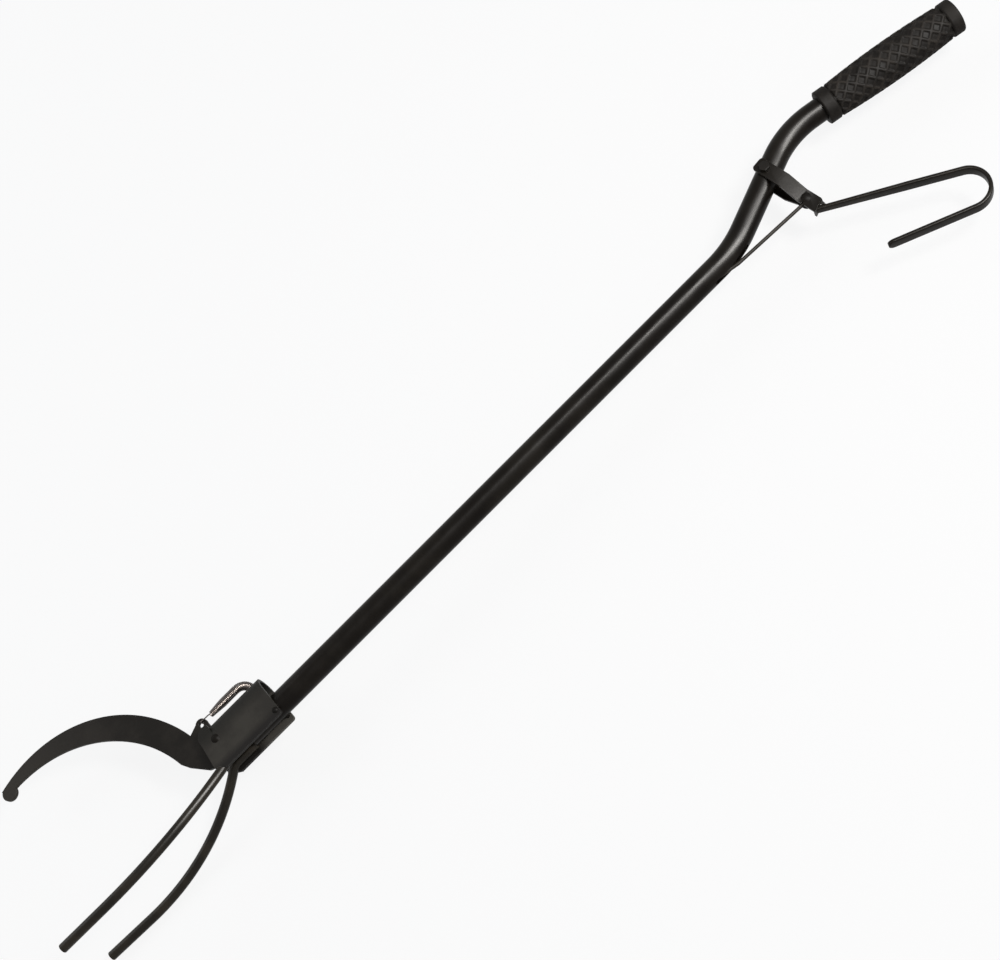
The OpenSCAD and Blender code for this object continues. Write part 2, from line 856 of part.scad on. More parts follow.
module squeeze_lever() {
    spare = strap_w / 2;
    color("#2a2826")
        difference() {
            at_lever() {
                rotate([90, 0, 0])
                    linear_extrude(lever_t, center = true)
                        polygon([
                            [-spare, -lever_root_w / 2],
                            [0, -lever_root_w / 2],
                            [lever_taper, -lever_w / 2],
                            [lever_upper + lap, -lever_w / 2],
                            [lever_upper + lap, lever_w / 2],
                            [lever_taper, lever_w / 2],
                            [0, lever_root_w / 2],
                            [-spare, lever_root_w / 2]
                        ]);
                translate([lever_upper, -lever_bend_r, 0]) {
                    rotate([0, 0, 90 - lever_bend])
                        rotate_extrude(angle = lever_bend, $fn = 128)
                            translate([lever_bend_r, 0])
                                square([lever_t + 2 * bar_swell, lever_w + 2 * bar_swell], center = true);
                    rotate([0, 0, -lever_bend])
                        translate([0, lever_bend_r, 0])
                            rotate([90, 0, 0])
                                linear_extrude(lever_t, center = true) {
                                    translate([-lap, -lever_w / 2])
                                        square([lever_lower + lap - lever_w / 2, lever_w]);
                                    translate([lever_lower - lever_w / 2, 0])
                                        circle(d = lever_w);
                                }
                }
            }
            behind_fold();
        }
}

// A fillet of weld on the handle side of the lever's root
module lever_weld() {
    leg = 7;
    color("#353230")
        difference() {
            at_lever()
                translate([0, lever_t / 2, -lever_root_w / 2])
                    linear_extrude(lever_root_w)
                        polygon(leg * [[-1, 0], [1, 0], [0.72, 0.4], [0.68, 0.75], [-1, 0.75]]);
            behind_fold();
        }
}

module pull_rod() {
    eye_drop = 0.8;
    joggle_r = 12;
    rod_lap = 0.2;
    eye = [bolt_x + rivet_arm * sin(strap_lean), bolt_y - rivet_arm * cos(strap_lean)];
    start = eye - [rivet_d / 2, eye_drop];
    slot_point = [joggle_back, -rod_slot_drop];
    tube_point = [joggle_front, -rod_tube_drop];
    // The long run leans sideways inside the tube, and its hook ends square to the jaw
    lean = atan(-hook_z / (joggle_front - hook_x));
    hook_start = [hook_x + hook_r * (1 + sin(lean)), hook_y];
    outer_way = slot_point - start;
    joggle_way = tube_point - slot_point;
    inner_way = hook_start - tube_point;
    outer_angle = atan2(outer_way[1], outer_way[0]);
    joggle_angle = atan2(joggle_way[1], joggle_way[0]);
    inner_angle = atan2(inner_way[1], inner_way[0]);
    slot_tangent = joggle_r * tan(abs(joggle_angle - outer_angle) / 2);
    tube_tangent = joggle_r * tan(abs(inner_angle - joggle_angle) / 2);
    joggle_run = norm(joggle_way) - slot_tangent - tube_tangent;
    inner_run = (norm(inner_way) - tube_tangent) / cos(lean);
    color("#3a3735")
        difference() {
            union() {
                translate([eye[0], eye[1], 0])
                    cylinder(d = eye_d, h = eye_w, center = true);
                translate([start[0], start[1], 0])
                    rotate([0, 0, outer_angle])
                        straight(norm(outer_way) - slot_tangent, rod_d, 0, 0, rod_lap)
                            bend(joggle_r, joggle_angle - outer_angle, rod_d)
                                straight(joggle_run, rod_d, 0, rod_lap, rod_lap)
                                    bend(joggle_r, inner_angle - joggle_angle, rod_d)
                                        rotate([90, lean, 0])
                                            rod_front(inner_run, lean, rod_lap);
            }
            translate([eye[0], eye[1], 0])
                cylinder(d = rivet_d + 2 * turn_gap, h = eye_w + 2 * cut, center = true);
        }
}

// The rod's long run inside the tube, with the hook that passes through the jaw
module rod_front(run, lean, rod_lap) {
    straight(run, rod_d, 0, rod_lap, rod_lap)
        bend(hook_r, 90 + lean, rod_d)
            straight(hook_end - hook_z - hook_r, rod_d, 0, rod_lap, 0);
}

module rod_keeper() {
    color("#3a3735")
        translate([hook_x, hook_y, 0])
            ring(keeper_d, rod_d + 2 * still_gap, jaw_t / 2 + hook_clear, keeper_t);
}

shaft_tube();
hand_grip();
head_channel();
near_tine();
far_tine();
channel_rivet();
jaw_pin();
near_spacer();
far_spacer();
return_spring();
pivot_bolt();
pivot_washer();
pivot_nut();
near_strap();
far_strap();
rod_rivet();
squeeze_lever();
lever_weld();
pull_rod();
rod_keeper();
jaw();
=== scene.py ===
import math

import bmesh
import bpy
from mathutils import Matrix, Vector, noise


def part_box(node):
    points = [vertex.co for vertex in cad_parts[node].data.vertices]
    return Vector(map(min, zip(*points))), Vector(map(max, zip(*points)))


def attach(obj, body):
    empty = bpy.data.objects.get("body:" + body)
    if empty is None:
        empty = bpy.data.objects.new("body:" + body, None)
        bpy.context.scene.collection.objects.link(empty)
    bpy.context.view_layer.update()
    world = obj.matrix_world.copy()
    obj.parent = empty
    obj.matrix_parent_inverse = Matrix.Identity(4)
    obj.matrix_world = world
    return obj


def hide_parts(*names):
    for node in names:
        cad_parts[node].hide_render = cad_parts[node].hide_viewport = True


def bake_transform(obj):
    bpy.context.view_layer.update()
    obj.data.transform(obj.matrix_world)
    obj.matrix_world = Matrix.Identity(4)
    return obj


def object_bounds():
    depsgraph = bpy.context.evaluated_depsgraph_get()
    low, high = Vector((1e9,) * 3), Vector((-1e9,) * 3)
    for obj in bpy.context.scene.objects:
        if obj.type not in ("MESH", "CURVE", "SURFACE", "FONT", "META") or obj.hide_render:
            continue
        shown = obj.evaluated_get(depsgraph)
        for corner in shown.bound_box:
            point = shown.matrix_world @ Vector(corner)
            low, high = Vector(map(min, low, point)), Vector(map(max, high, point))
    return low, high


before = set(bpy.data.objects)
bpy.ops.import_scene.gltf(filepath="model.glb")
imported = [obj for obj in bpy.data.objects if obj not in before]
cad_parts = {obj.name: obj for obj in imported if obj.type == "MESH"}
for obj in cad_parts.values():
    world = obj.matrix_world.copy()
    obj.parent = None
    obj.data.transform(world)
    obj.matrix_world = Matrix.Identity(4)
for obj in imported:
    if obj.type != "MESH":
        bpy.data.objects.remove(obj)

cadLow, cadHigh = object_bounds()
scene = bpy.context.scene
scene.view_settings.view_transform = "Standard"
mm = 0.001
# Points this close are one point, in metres: in meshes made here, and in copies of CAD meshes
sweptGap = 1e-7
cadGap = 1e-6
print("frame loaded:", len(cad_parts), "CAD nodes")

# Places and headings of the CAD source, in mm and degrees
shaftAxis = dict(front=-273.6, radius=10.2, wall=1.5)
boltPlace = (338.92, 26.79)
strapHeading = -84.7
gripPlace = (408.94, 35.192)
gripHeading = -11.6


def planePlace(x, y, heading):
    return Matrix.Translation((x * mm, y * mm, 0)) @ Matrix.Rotation(math.radians(heading), 4, "Z")


def easeBetween(low, high, value):
    share = min(1.0, max(0.0, (value - low) / (high - low)))
    return share * share * (3 - 2 * share)


# Helpers for shader nodes
def nodeGroup(name, given, made):
    group = bpy.data.node_groups.new(name, "ShaderNodeTree")
    for label, kind, value in given:
        group.interface.new_socket(label, in_out="INPUT", socket_type=kind).default_value = value
    for label, kind in made:
        group.interface.new_socket(label, in_out="OUTPUT", socket_type=kind)
    return group, group.nodes.new("NodeGroupInput").outputs, group.nodes.new("NodeGroupOutput").inputs


def addNode(tree, kind, settings=None, **inputs):
    # An input goes by its name, or by its number as i0, i1 and so on
    node = tree.nodes.new("ShaderNode" + kind)
    for key, value in (settings or {}).items():
        setattr(node, key, value)
    for key, value in inputs.items():
        socket = node.inputs[int(key[1:])] if key[0] == "i" and key[1:].isdigit() else node.inputs[key]
        if isinstance(value, bpy.types.NodeSocket):
            tree.links.new(value, socket)
        else:
            socket.default_value = value
    return node


def calc(tree, operation, first, second=0.0):
    return addNode(tree, "Math", {"operation": operation}, i0=first, i1=second).outputs[0]


def blendColours(tree, factor, first, second):
    return addNode(tree, "Mix", {"data_type": "RGBA"}, i0=factor, i6=first, i7=second).outputs[2]


def noiseAt(tree, scale, detail, rough):
    place = addNode(tree, "TexCoord").outputs["Object"]
    node = addNode(tree, "TexNoise", None, Vector=place, Scale=scale, Detail=detail, Roughness=rough)
    return node.outputs["Fac"]


def remap(tree, value, low, high, outLow=0.0, outHigh=1.0):
    node = addNode(tree, "MapRange", {"interpolation_type": "SMOOTHSTEP"},
                   i0=value, i1=low, i2=high, i3=outLow, i4=outHigh)
    return node.outputs[0]


# A noise is its scale, detail and roughness, or the last two alone where the material gives the scale.
# A span is where an effect starts and where it is full
wearLook = dict(samples=4, edgeSpan=(0.99, 0.85), patchDetail=(4.0, 0.65), patchSpan=(0.42, 0.62))


def makeEdgeWear(look):
    # Finds edges from a rounded normal, and breaks them up with a patchy noise
    group, given, made = nodeGroup(
        "edgeWear",
        [("Radius", "NodeSocketFloat", 0.7 * mm),
         ("Patch Scale", "NodeSocketFloat", 160.0),
         ("Amount", "NodeSocketFloat", 0.4)],
        [("Mask", "NodeSocketFloat")])
    rounded = addNode(group, "Bevel", {"samples": look["samples"]}, Radius=given["Radius"]).outputs[0]
    plain = addNode(group, "NewGeometry").outputs["Normal"]
    facing = addNode(group, "VectorMath", {"operation": "DOT_PRODUCT"}, i0=rounded, i1=plain)
    edge = remap(group, facing.outputs["Value"], *look["edgeSpan"])
    patch = remap(group, noiseAt(group, given["Patch Scale"], *look["patchDetail"]), *look["patchSpan"])
    broken = calc(group, "MULTIPLY", edge, patch)
    group.links.new(calc(group, "MULTIPLY", broken, given["Amount"]), made["Mask"])
    return group


coatLook = dict(cloud=(34.0, 5.0, 0.6), cloudSpan=(0.4, 0.68), gloss=(60.0, 4.0, 0.6),
                speck=(1500.0, 2.0, 0.6), speckSpan=(0.6, 0.74), speckColour=0.5, speckHeight=0.3,
                peelDetail=(2.0, 0.45), height=0.12)


def makeSprayedCoat(look):
    # Clouded colour, uneven gloss, orange peel and fine specks of a sprayed coat
    group, given, made = nodeGroup(
        "sprayedCoat",
        [("Color", "NodeSocketColor", (0.01, 0.01, 0.01, 1)),
         ("Cloud Color", "NodeSocketColor", (0.02, 0.02, 0.02, 1)),
         ("Roughness", "NodeSocketFloat", 0.4),
         ("Spread", "NodeSocketFloat", 0.1),
         ("Peel Scale", "NodeSocketFloat", 700.0),
         ("Peel", "NodeSocketFloat", 0.25)],
        [("Color", "NodeSocketColor"), ("Roughness", "NodeSocketFloat"), ("Normal", "NodeSocketVector")])
    cloud = remap(group, noiseAt(group, *look["cloud"]), *look["cloudSpan"])
    speck = remap(group, noiseAt(group, *look["speck"]), *look["speckSpan"])
    tint = blendColours(group, cloud, given["Color"], given["Cloud Color"])
    speckShare = calc(group, "MULTIPLY", speck, look["speckColour"])
    group.links.new(blendColours(group, speckShare, tint, given["Cloud Color"]), made["Color"])
    centred = calc(group, "SUBTRACT", noiseAt(group, *look["gloss"]), 0.5)
    uneven = calc(group, "MULTIPLY", calc(group, "MULTIPLY", centred, given["Spread"]), 2.0)
    group.links.new(calc(group, "ADD", given["Roughness"], uneven), made["Roughness"])
    peel = noiseAt(group, given["Peel Scale"], *look["peelDetail"])
    height = calc(group, "ADD", peel, calc(group, "MULTIPLY", speck, look["speckHeight"]))
    bump = addNode(group, "Bump", None, Strength=given["Peel"], Distance=look["height"] * mm, Height=height)
    group.links.new(bump.outputs[0], made["Normal"])
    return group


# hollowShade is how much painted shade the grip's hollows get
skinLook = dict(bloom=(90.0, 5.0, 0.65), bloomSpan=(0.35, 0.75), hollowShade=0.8, roughness=(0.55, 0.74),
                pores=(1300.0, 3.0, 0.6), poreStrength=0.35, poreHeight=0.1)


def makeRubberSkin(look):
    # Matt moulded skin: pores, and a greyish bloom that shows less in the hollows, which paints shade into
    # them
    group, given, made = nodeGroup(
        "rubberSkin",
        [("Color", "NodeSocketColor", (0.01, 0.01, 0.01, 1)),
         ("Bloom Color", "NodeSocketColor", (0.03, 0.03, 0.03, 1)),
         ("Hollow", "NodeSocketFloat", 0.0)],
        [("Color", "NodeSocketColor"), ("Roughness", "NodeSocketFloat"), ("Normal", "NodeSocketVector")])
    bloom = remap(group, noiseAt(group, *look["bloom"]), *look["bloomSpan"])
    kept = calc(group, "SUBTRACT", 1.0, calc(group, "MULTIPLY", given["Hollow"], look["hollowShade"]))
    amount = calc(group, "MULTIPLY", bloom, kept)
    group.links.new(blendColours(group, amount, given["Color"], given["Bloom Color"]), made["Color"])
    group.links.new(remap(group, bloom, 0.0, 1.0, *look["roughness"]), made["Roughness"])
    pores = addNode(group, "Bump", None, Strength=look["poreStrength"], Distance=look["poreHeight"] * mm,
                    Height=noiseAt(group, *look["pores"]))
    group.links.new(pores.outputs[0], made["Normal"])
    return group


metalLook = dict(stain=(240.0, 4.0, 0.6), stainSpan=(0.5, 0.78), stainRoughness=0.2,
                 scratch=(2600.0, 2.0, 0.5), scratchStrength=0.12, scratchHeight=0.05)


def makeDrawnMetal(look):
    # Bright drawn or turned steel with faint stains and short scratches
    group, given, made = nodeGroup(
        "drawnMetal",
        [("Color", "NodeSocketColor", (0.6, 0.6, 0.6, 1)),
         ("Stain Color", "NodeSocketColor", (0.3, 0.28, 0.25, 1)),
         ("Roughness", "NodeSocketFloat", 0.25)],
        [("Color", "NodeSocketColor"), ("Roughness", "NodeSocketFloat"), ("Normal", "NodeSocketVector")])
    stain = remap(group, noiseAt(group, *look["stain"]), *look["stainSpan"])
    group.links.new(blendColours(group, stain, given["Color"], given["Stain Color"]), made["Color"])
    rougher = calc(group, "MULTIPLY", stain, look["stainRoughness"])
    group.links.new(calc(group, "ADD", given["Roughness"], rougher), made["Roughness"])
    scratch = addNode(group, "Bump", None, Strength=look["scratchStrength"],
                      Distance=look["scratchHeight"] * mm, Height=noiseAt(group, *look["scratch"]))
    group.links.new(scratch.outputs[0], made["Normal"])
    return group


edgeWear = makeEdgeWear(wearLook)
sprayedCoat = makeSprayedCoat(coatLook)
rubberSkin = makeRubberSkin(skinLook)
drawnMetal = makeDrawnMetal(metalLook)


def rgba(colour):
    return (*colour, 1.0)


def newMaterial(name):
    material = bpy.data.materials.new(name)
    material.use_nodes = True
    tree = material.node_tree
    tree.nodes.clear()
    shader = tree.nodes.new("ShaderNodeBsdfPrincipled")
    tree.links.new(shader.outputs[0], tree.nodes.new("ShaderNodeOutputMaterial").inputs[0])
    return material, tree, shader


def useGroup(tree, group, **inputs):
    node = tree.nodes.new("ShaderNodeGroup")
    node.node_tree = group
    for key, value in inputs.items():
        socket = node.inputs[key.replace("_", " ")]
        if isinstance(value, bpy.types.NodeSocket):
            tree.links.new(value, socket)
        else:
            socket.default_value = value
    return node.outputs


def linkSurface(tree, shader, colour, surface):
    tree.links.new(colour, shader.inputs["Base Color"])
    tree.links.new(surface["Roughness"], shader.inputs["Roughness"])
    tree.links.new(surface["Normal"], shader.inputs["Normal"])


def spanMask(tree, spans):
    # Is 1 past the end of every span, along the object's own axes, and 0 before its start
    mask = 1.0
    for axis, start, end in spans:
        place = addNode(tree, "TexCoord").outputs["Object"]
        along = addNode(tree, "SeparateXYZ", None, i0=place).outputs[axis]
        share = addNode(tree, "MapRange", None, i0=along, i1=start * mm, i2=end * mm).outputs[0]
        mask = calc(tree, "MULTIPLY", mask, share)
    return mask


def paintFinish(name, look):
    material, tree, shader = newMaterial(name)
    coat = useGroup(tree, sprayedCoat, Color=rgba(look["colour"]), Cloud_Color=rgba(look["cloud"]),
                    Roughness=look["roughness"], Spread=look["spread"], Peel_Scale=look["peelScale"],
                    Peel=look["peel"])
    worn = useGroup(tree, edgeWear, Radius=look["edge"] * mm, Patch_Scale=look["patchScale"],
                    Amount=look["wear"])
    colour = coat["Color"]
    # Each fade blends painted light or painted shade into the coat's colour
    for fade in look["lightAndShade"]:
        colour = blendColours(tree, spanMask(tree, fade["spans"]), colour, rgba(fade["colour"]))
    linkSurface(tree, shader, blendColours(tree, worn["Mask"], colour, rgba(look["bare"])), coat)
    shader.inputs["Specular IOR Level"].default_value = look["specular"]
    return material


# Fades are painted light and shade that grow along the object's X, Y or Z, in mm
basePaint = dict(colour=(0.0052, 0.0038, 0.0026), cloud=(0.0110, 0.0088, 0.0064),
                 bare=(0.070, 0.064, 0.056), roughness=0.34, spread=0.10, peelScale=700.0, peel=0.22,
                 edge=0.6, patchScale=160.0, wear=0.35, specular=0.07, lightAndShade=())
paintLooks = {
    "tubePaint": dict(roughness=0.30, peel=0.16, wear=0.2),
    "channelPaint": dict(
        colour=(0.0190, 0.0166, 0.0134), cloud=(0.0330, 0.0295, 0.0240), roughness=0.50, wear=0.8,
        specular=0.10,
        # Painted shade: darker towards the cheeks' lower edges and towards the crown
        lightAndShade=(dict(colour=(0.0050, 0.0038, 0.0030), spans=[("Y", -3.5, -9.5)]),
               dict(colour=(0.0060, 0.0054, 0.0036), spans=[("Y", 9.0, 21.0)]),
               # Painted light: a lighter patch on the far cheek, from X -266 mm towards the handle
               dict(colour=(0.078, 0.072, 0.062), spans=[("X", -277.0, -266.0), ("Z", -9.5, -10.1)]))),
    "tinePaint": dict(colour=(0.0130, 0.0108, 0.0078), cloud=(0.0290, 0.0232, 0.0160), roughness=0.33,
                      specular=0.11),
    "jawPaint": dict(
        colour=(0.0080, 0.0064, 0.0048), cloud=(0.0165, 0.0138, 0.0108), roughness=0.46, peel=0.35,
        wear=0.45,
        # Painted light: the jaw gets lighter towards its tip
        lightAndShade=(dict(colour=(0.0330, 0.0290, 0.0240), spans=[("X", -350.0, -455.0)]),)),
    "strapPaint": dict(colour=(0.0085, 0.0068, 0.0052), bare=(0.11, 0.10, 0.09), roughness=0.28, wear=0.7,
                       specular=0.08),
    "leverPaint": dict(colour=(0.0082, 0.0064, 0.0045), cloud=(0.0160, 0.0128, 0.0092), wear=0.5,
                       specular=0.065),
    "rodPaint": dict(colour=(0.026, 0.0225, 0.0180), cloud=(0.046, 0.039, 0.031), roughness=0.46,
                     specular=0.06),
    "rivetPaint": dict(colour=(0.010, 0.0088, 0.0076), roughness=0.48, wear=0.6, specular=0.03),
    "boltBlack": dict(colour=(0.011, 0.0098, 0.0088), roughness=0.38, peel=0.12, wear=0.6, edge=0.4,
                      specular=0.08),
    "weldPaint": dict(colour=(0.018, 0.0160, 0.0135), roughness=0.22, peel=0.3, peelScale=1100.0, wear=0.3,
                      specular=0.28),
}
finishes = {name: paintFinish(name, {**basePaint, **look}) for name, look in paintLooks.items()}

rubberLook = dict(colour=(0.0070, 0.0058, 0.0048), bloom=(0.034, 0.028, 0.023), specular=0.05)


def rubberFinish(name, look):
    material, tree, shader = newMaterial(name)
    # The hollow attribute paints shade into the rubber's colour
    hollow = addNode(tree, "Attribute", {"attribute_name": "hollow"}).outputs["Fac"]
    skin = useGroup(tree, rubberSkin, Color=rgba(look["colour"]), Bloom_Color=rgba(look["bloom"]),
                    Hollow=hollow)
    linkSurface(tree, shader, skin["Color"], skin)
    shader.inputs["Specular IOR Level"].default_value = look["specular"]
    return material


finishes["gripRubber"] = rubberFinish("gripRubber", rubberLook)

metalLooks = {
    "springZinc": dict(colour=(0.090, 0.080, 0.074), stain=(0.045, 0.038, 0.034), roughness=0.26),
    "spacerSteel": dict(colour=(0.20, 0.19, 0.18), stain=(0.09, 0.075, 0.06), roughness=0.38),
}


def metalFinish(name, look):
    material, tree, shader = newMaterial(name)
    metal = useGroup(tree, drawnMetal, Color=rgba(look["colour"]), Stain_Color=rgba(look["stain"]),
                     Roughness=look["roughness"])
    linkSurface(tree, shader, metal["Color"], metal)
    shader.inputs["Metallic"].default_value = 1.0
    return material


for metalName, metalValues in metalLooks.items():
    finishes[metalName] = metalFinish(metalName, metalValues)
print("finishes made:", len(finishes))


# Helpers for meshes
def addPiece(name, bm, finish, body, replaced, sharp):
    mesh = bpy.data.meshes.new(name)
    for face in bm.faces:
        face.smooth = True
    bm.to_mesh(mesh)
    bm.free()
    mesh.set_sharp_from_angle(angle=math.radians(sharp))
    piece = bpy.data.objects.new(name, mesh)
    scene.collection.objects.link(piece)
    mesh.materials.append(finishes[finish])
    # A piece that is given no body here is left without one; the tube gets its body once its shape is whole
    if body:
        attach(piece, body)
    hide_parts(replaced)
    return piece


def onlyVerts(items):
    return [item for item in items if isinstance(item, bmesh.types.BMVert)]


def applyModifiers(piece):
    shown = piece.evaluated_get(bpy.context.evaluated_depsgraph_get())
    mesh = bpy.data.meshes.new_from_object(shown)
    old = piece.data
    piece.modifiers.clear()
    piece.data = mesh
    mesh.name = old.name
    bpy.data.meshes.remove(old)


def loopEdges(bm, verts):
    inside = set(verts)
    return [edge for edge in bm.edges if edge.verts[0] in inside and edge.verts[1] in inside]


def roundLoop(bm, radius, sides, place):
    turned = place @ Matrix.Rotation(math.pi / 2, 4, "Y")
    made = bmesh.ops.create_circle(bm, cap_ends=False, radius=radius * mm, segments=sides, matrix=turned)
    return loopEdges(bm, made["verts"])


def runLoop(bm, edges, place, length, stretch=1.0):
    # Pulls a loop straight ahead by a length, and stretches it across the tongs
    verts = onlyVerts(bmesh.ops.extrude_edge_only(bm, edges=edges)["geom"])
    bmesh.ops.translate(bm, verts=verts, vec=place.to_3x3() @ Vector((length * mm, 0, 0)))
    if stretch != 1.0:
        bmesh.ops.scale(bm, verts=verts, vec=(1, 1, stretch))
    return loopEdges(bm, verts), place @ Matrix.Translation((length * mm, 0, 0))


def turnLoop(bm, edges, place, radius, angle, steps):
    # Spins a loop to the left for a positive angle
    side = math.copysign(radius * mm, angle)
    turn = math.radians(angle)
    verts = list(dict.fromkeys(vert for edge in edges for vert in edge.verts))
    made = bmesh.ops.spin(bm, geom=verts + edges, cent=place @ Vector((0, side, 0)),
                          axis=place.to_3x3() @ Vector((0, 0, 1)), angle=turn, steps=steps)["geom_last"]
    ahead = Matrix.Translation((abs(side) * math.sin(abs(turn)), side * (1 - math.cos(turn)), 0))
    return loopEdges(bm, onlyVerts(made)), place @ ahead @ Matrix.Rotation(turn, 4, "Z")


def sweepLoop(bm, edges, place, path):
    for step in path:
        if step[0] == "run":
            edges, place = runLoop(bm, edges, place, *step[1:])
        else:
            edges, place = turnLoop(bm, edges, place, *step[1:])
    return edges, place


def closeMesh(bm):
    bmesh.ops.remove_doubles(bm, verts=bm.verts, dist=sweptGap)
    bmesh.ops.recalc_face_normals(bm, faces=bm.faces)


def cutAway(piece, cutters):
    for cutter in cutters:
        modifier = piece.modifiers.new("cut", "BOOLEAN")
        modifier.operation = "DIFFERENCE"
        modifier.solver = "EXACT"
        modifier.object = cutter
    applyModifiers(piece)
    for cutter in cutters:
        bpy.data.objects.remove(cutter)


def toolObject(name, bm):
    mesh = bpy.data.meshes.new(name)
    bm.to_mesh(mesh)
    bm.free()
    tool = bpy.data.objects.new(name, mesh)
    scene.collection.objects.link(tool)
    return tool


# Shaft tube
tubeLook = dict(sides=72, run=527.491, neckRun=66.51, neckRadius=100, neckTurn=22.3, neckSteps=14,
                handleRadius=80, handleTurn=-33.9, handleSteps=18, tail=131.92, sharp=35,
                slotStart=244.4, slotLength=41, slotWidth=4.4, slotTop=-1, slotDeep=14, slotSides=32,
                boltHole=5.04, rivetPlace=(-240.8, -7.2), rivetHole=3.04, holeSides=48, drillLength=30)


def crossDrill(look, place, diameter):
    bm = bmesh.new()
    radius = diameter / 2 * mm
    bmesh.ops.create_cone(bm, cap_ends=True, segments=look["holeSides"], radius1=radius, radius2=radius,
                          depth=look["drillLength"] * mm, matrix=planePlace(*place, 0))
    return toolObject("drill", bm)


def slotCutter(look):
    bm = bmesh.new()
    made = bmesh.ops.create_circle(bm, cap_ends=True, radius=look["slotWidth"] / 2 * mm,
                                   segments=look["slotSides"],
                                   matrix=Matrix.Rotation(math.pi / 2, 4, "X"))["verts"]
    stretch = (look["slotLength"] - look["slotWidth"]) * mm
    farHalf = [vert for vert in made if vert.co.x > cadGap]
    bmesh.ops.translate(bm, verts=farHalf, vec=(stretch, 0, 0))
    front = look["slotStart"] + look["slotWidth"] / 2
    bmesh.ops.translate(bm, verts=bm.verts, vec=(front * mm, look["slotTop"] * mm, 0))
    deep = onlyVerts(bmesh.ops.extrude_face_region(bm, geom=bm.faces[:])["geom"])
    bmesh.ops.translate(bm, verts=deep, vec=(0, -look["slotDeep"] * mm, 0))
    bmesh.ops.recalc_face_normals(bm, faces=bm.faces)
    return toolObject("slotCutter", bm)


def makeTube(look):
    bm = bmesh.new()
    start = planePlace(shaftAxis["front"], 0, 0)
    path = [("run", look["run"]),
            ("turn", look["neckRadius"], look["neckTurn"], look["neckSteps"]),
            ("run", look["neckRun"]),
            ("turn", look["handleRadius"], look["handleTurn"], look["handleSteps"]),
            ("run", look["tail"])]
    front = roundLoop(bm, shaftAxis["radius"], look["sides"], start)
    back, _ = sweepLoop(bm, front, start, path)
    # The ends are shut only until the faces point outwards
    ends = [bmesh.ops.edgeloop_fill(bm, edges=loop)["faces"][0] for loop in (front, back)]
    bmesh.ops.recalc_face_normals(bm, faces=bm.faces)
    bmesh.ops.delete(bm, geom=ends, context="FACES_ONLY")
    tube = addPiece("shaftTube", bm, "tubePaint", None, "shaft_tube", look["sharp"])
    wall = tube.modifiers.new("wall", "SOLIDIFY")
    wall.thickness = shaftAxis["wall"] * mm
    wall.offset = -1
    wall.use_even_offset = True
    cutAway(tube, [slotCutter(look), crossDrill(look, boltPlace, look["boltHole"]),
                   crossDrill(look, look["rivetPlace"], look["rivetHole"])])
    tube.data.set_sharp_from_angle(angle=math.radians(look["sharp"]))
    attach(tube, "frame")


makeTube(tubeLook)
print("shaft tube made")

# Tines
tineLook = dict(sides=40, diameter=8, front=-274.6, drop=-6, side=6.2, tilt=45, root=19.8, rootRadius=14,
                splay=35, splaySteps=12, middle=1, curveRadius=220, curve=-37, curveSteps=30, tip=44.8,
                tipRound=0.9, roundSteps=3, sharp=50)


def makeTine(name, node, side, look):
    bm = bmesh.new()
    place = (Matrix.Translation((look["front"] * mm, look["drop"] * mm, look["side"] * mm))
             @ Matrix.Rotation(math.radians(-look["tilt"]), 4, "X") @ Matrix.Rotation(math.pi, 4, "Z"))
    start = roundLoop(bm, look["diameter"] / 2, look["sides"], place)
    end, _ = sweepLoop(bm, start, place, [
        ("run", look["root"]),
        ("turn", look["rootRadius"], look["splay"], look["splaySteps"]),
        ("run", look["middle"]),
        ("turn", look["curveRadius"], look["curve"], look["curveSteps"]),
        ("run", look["tip"])])
    for loop in (start, end):
        bmesh.ops.edgeloop_fill(bm, edges=loop)
    bmesh.ops.bevel(bm, geom=end, offset=look["tipRound"] * mm, offset_type="OFFSET",
                    segments=look["roundSteps"], profile=0.5, affect="EDGES", material=-1)
    if side < 0:
        bmesh.ops.scale(bm, verts=bm.verts, vec=(1, 1, -1))
    closeMesh(bm)
    addPiece(name, bm, "tinePaint", "frame", node, look["sharp"])


makeTine("nearTine", "near_tine", 1, tineLook)
makeTine("farTine", "far_tine", -1, tineLook)
print("tines made")

# Plates with worn round edges, made from copies of their CAD nodes
basePlate = dict(weldShare=0.9, flat=0.5, bevelFrom=38, roundSteps=2, sharp=40)
boltPlate = dict(body="frame", slot="bolt_black", finish="boltBlack")
strapPlate = dict(body="trigger", slot="strap_paint", finish="strapPaint", edge=0.35)
plateLooks = {
    "headChannel": dict(node="head_channel", body="frame", slot="channel_paint", finish="channelPaint",
                        edge=0.2, weldShare=0.05),
    "jawPlate": dict(node="jaw", body="jaw", slot="jaw_paint", finish="jawPaint", edge=0.4),
    "nearStrap": dict(strapPlate, node="near_strap"),
    "farStrap": dict(strapPlate, node="far_strap"),
    "pivotBolt": dict(boltPlate, node="pivot_bolt", edge=0.3),
    "pivotNut": dict(boltPlate, node="pivot_nut", edge=0.3),
    "pivotWasher": dict(boltPlate, node="pivot_washer", edge=0.2),
}


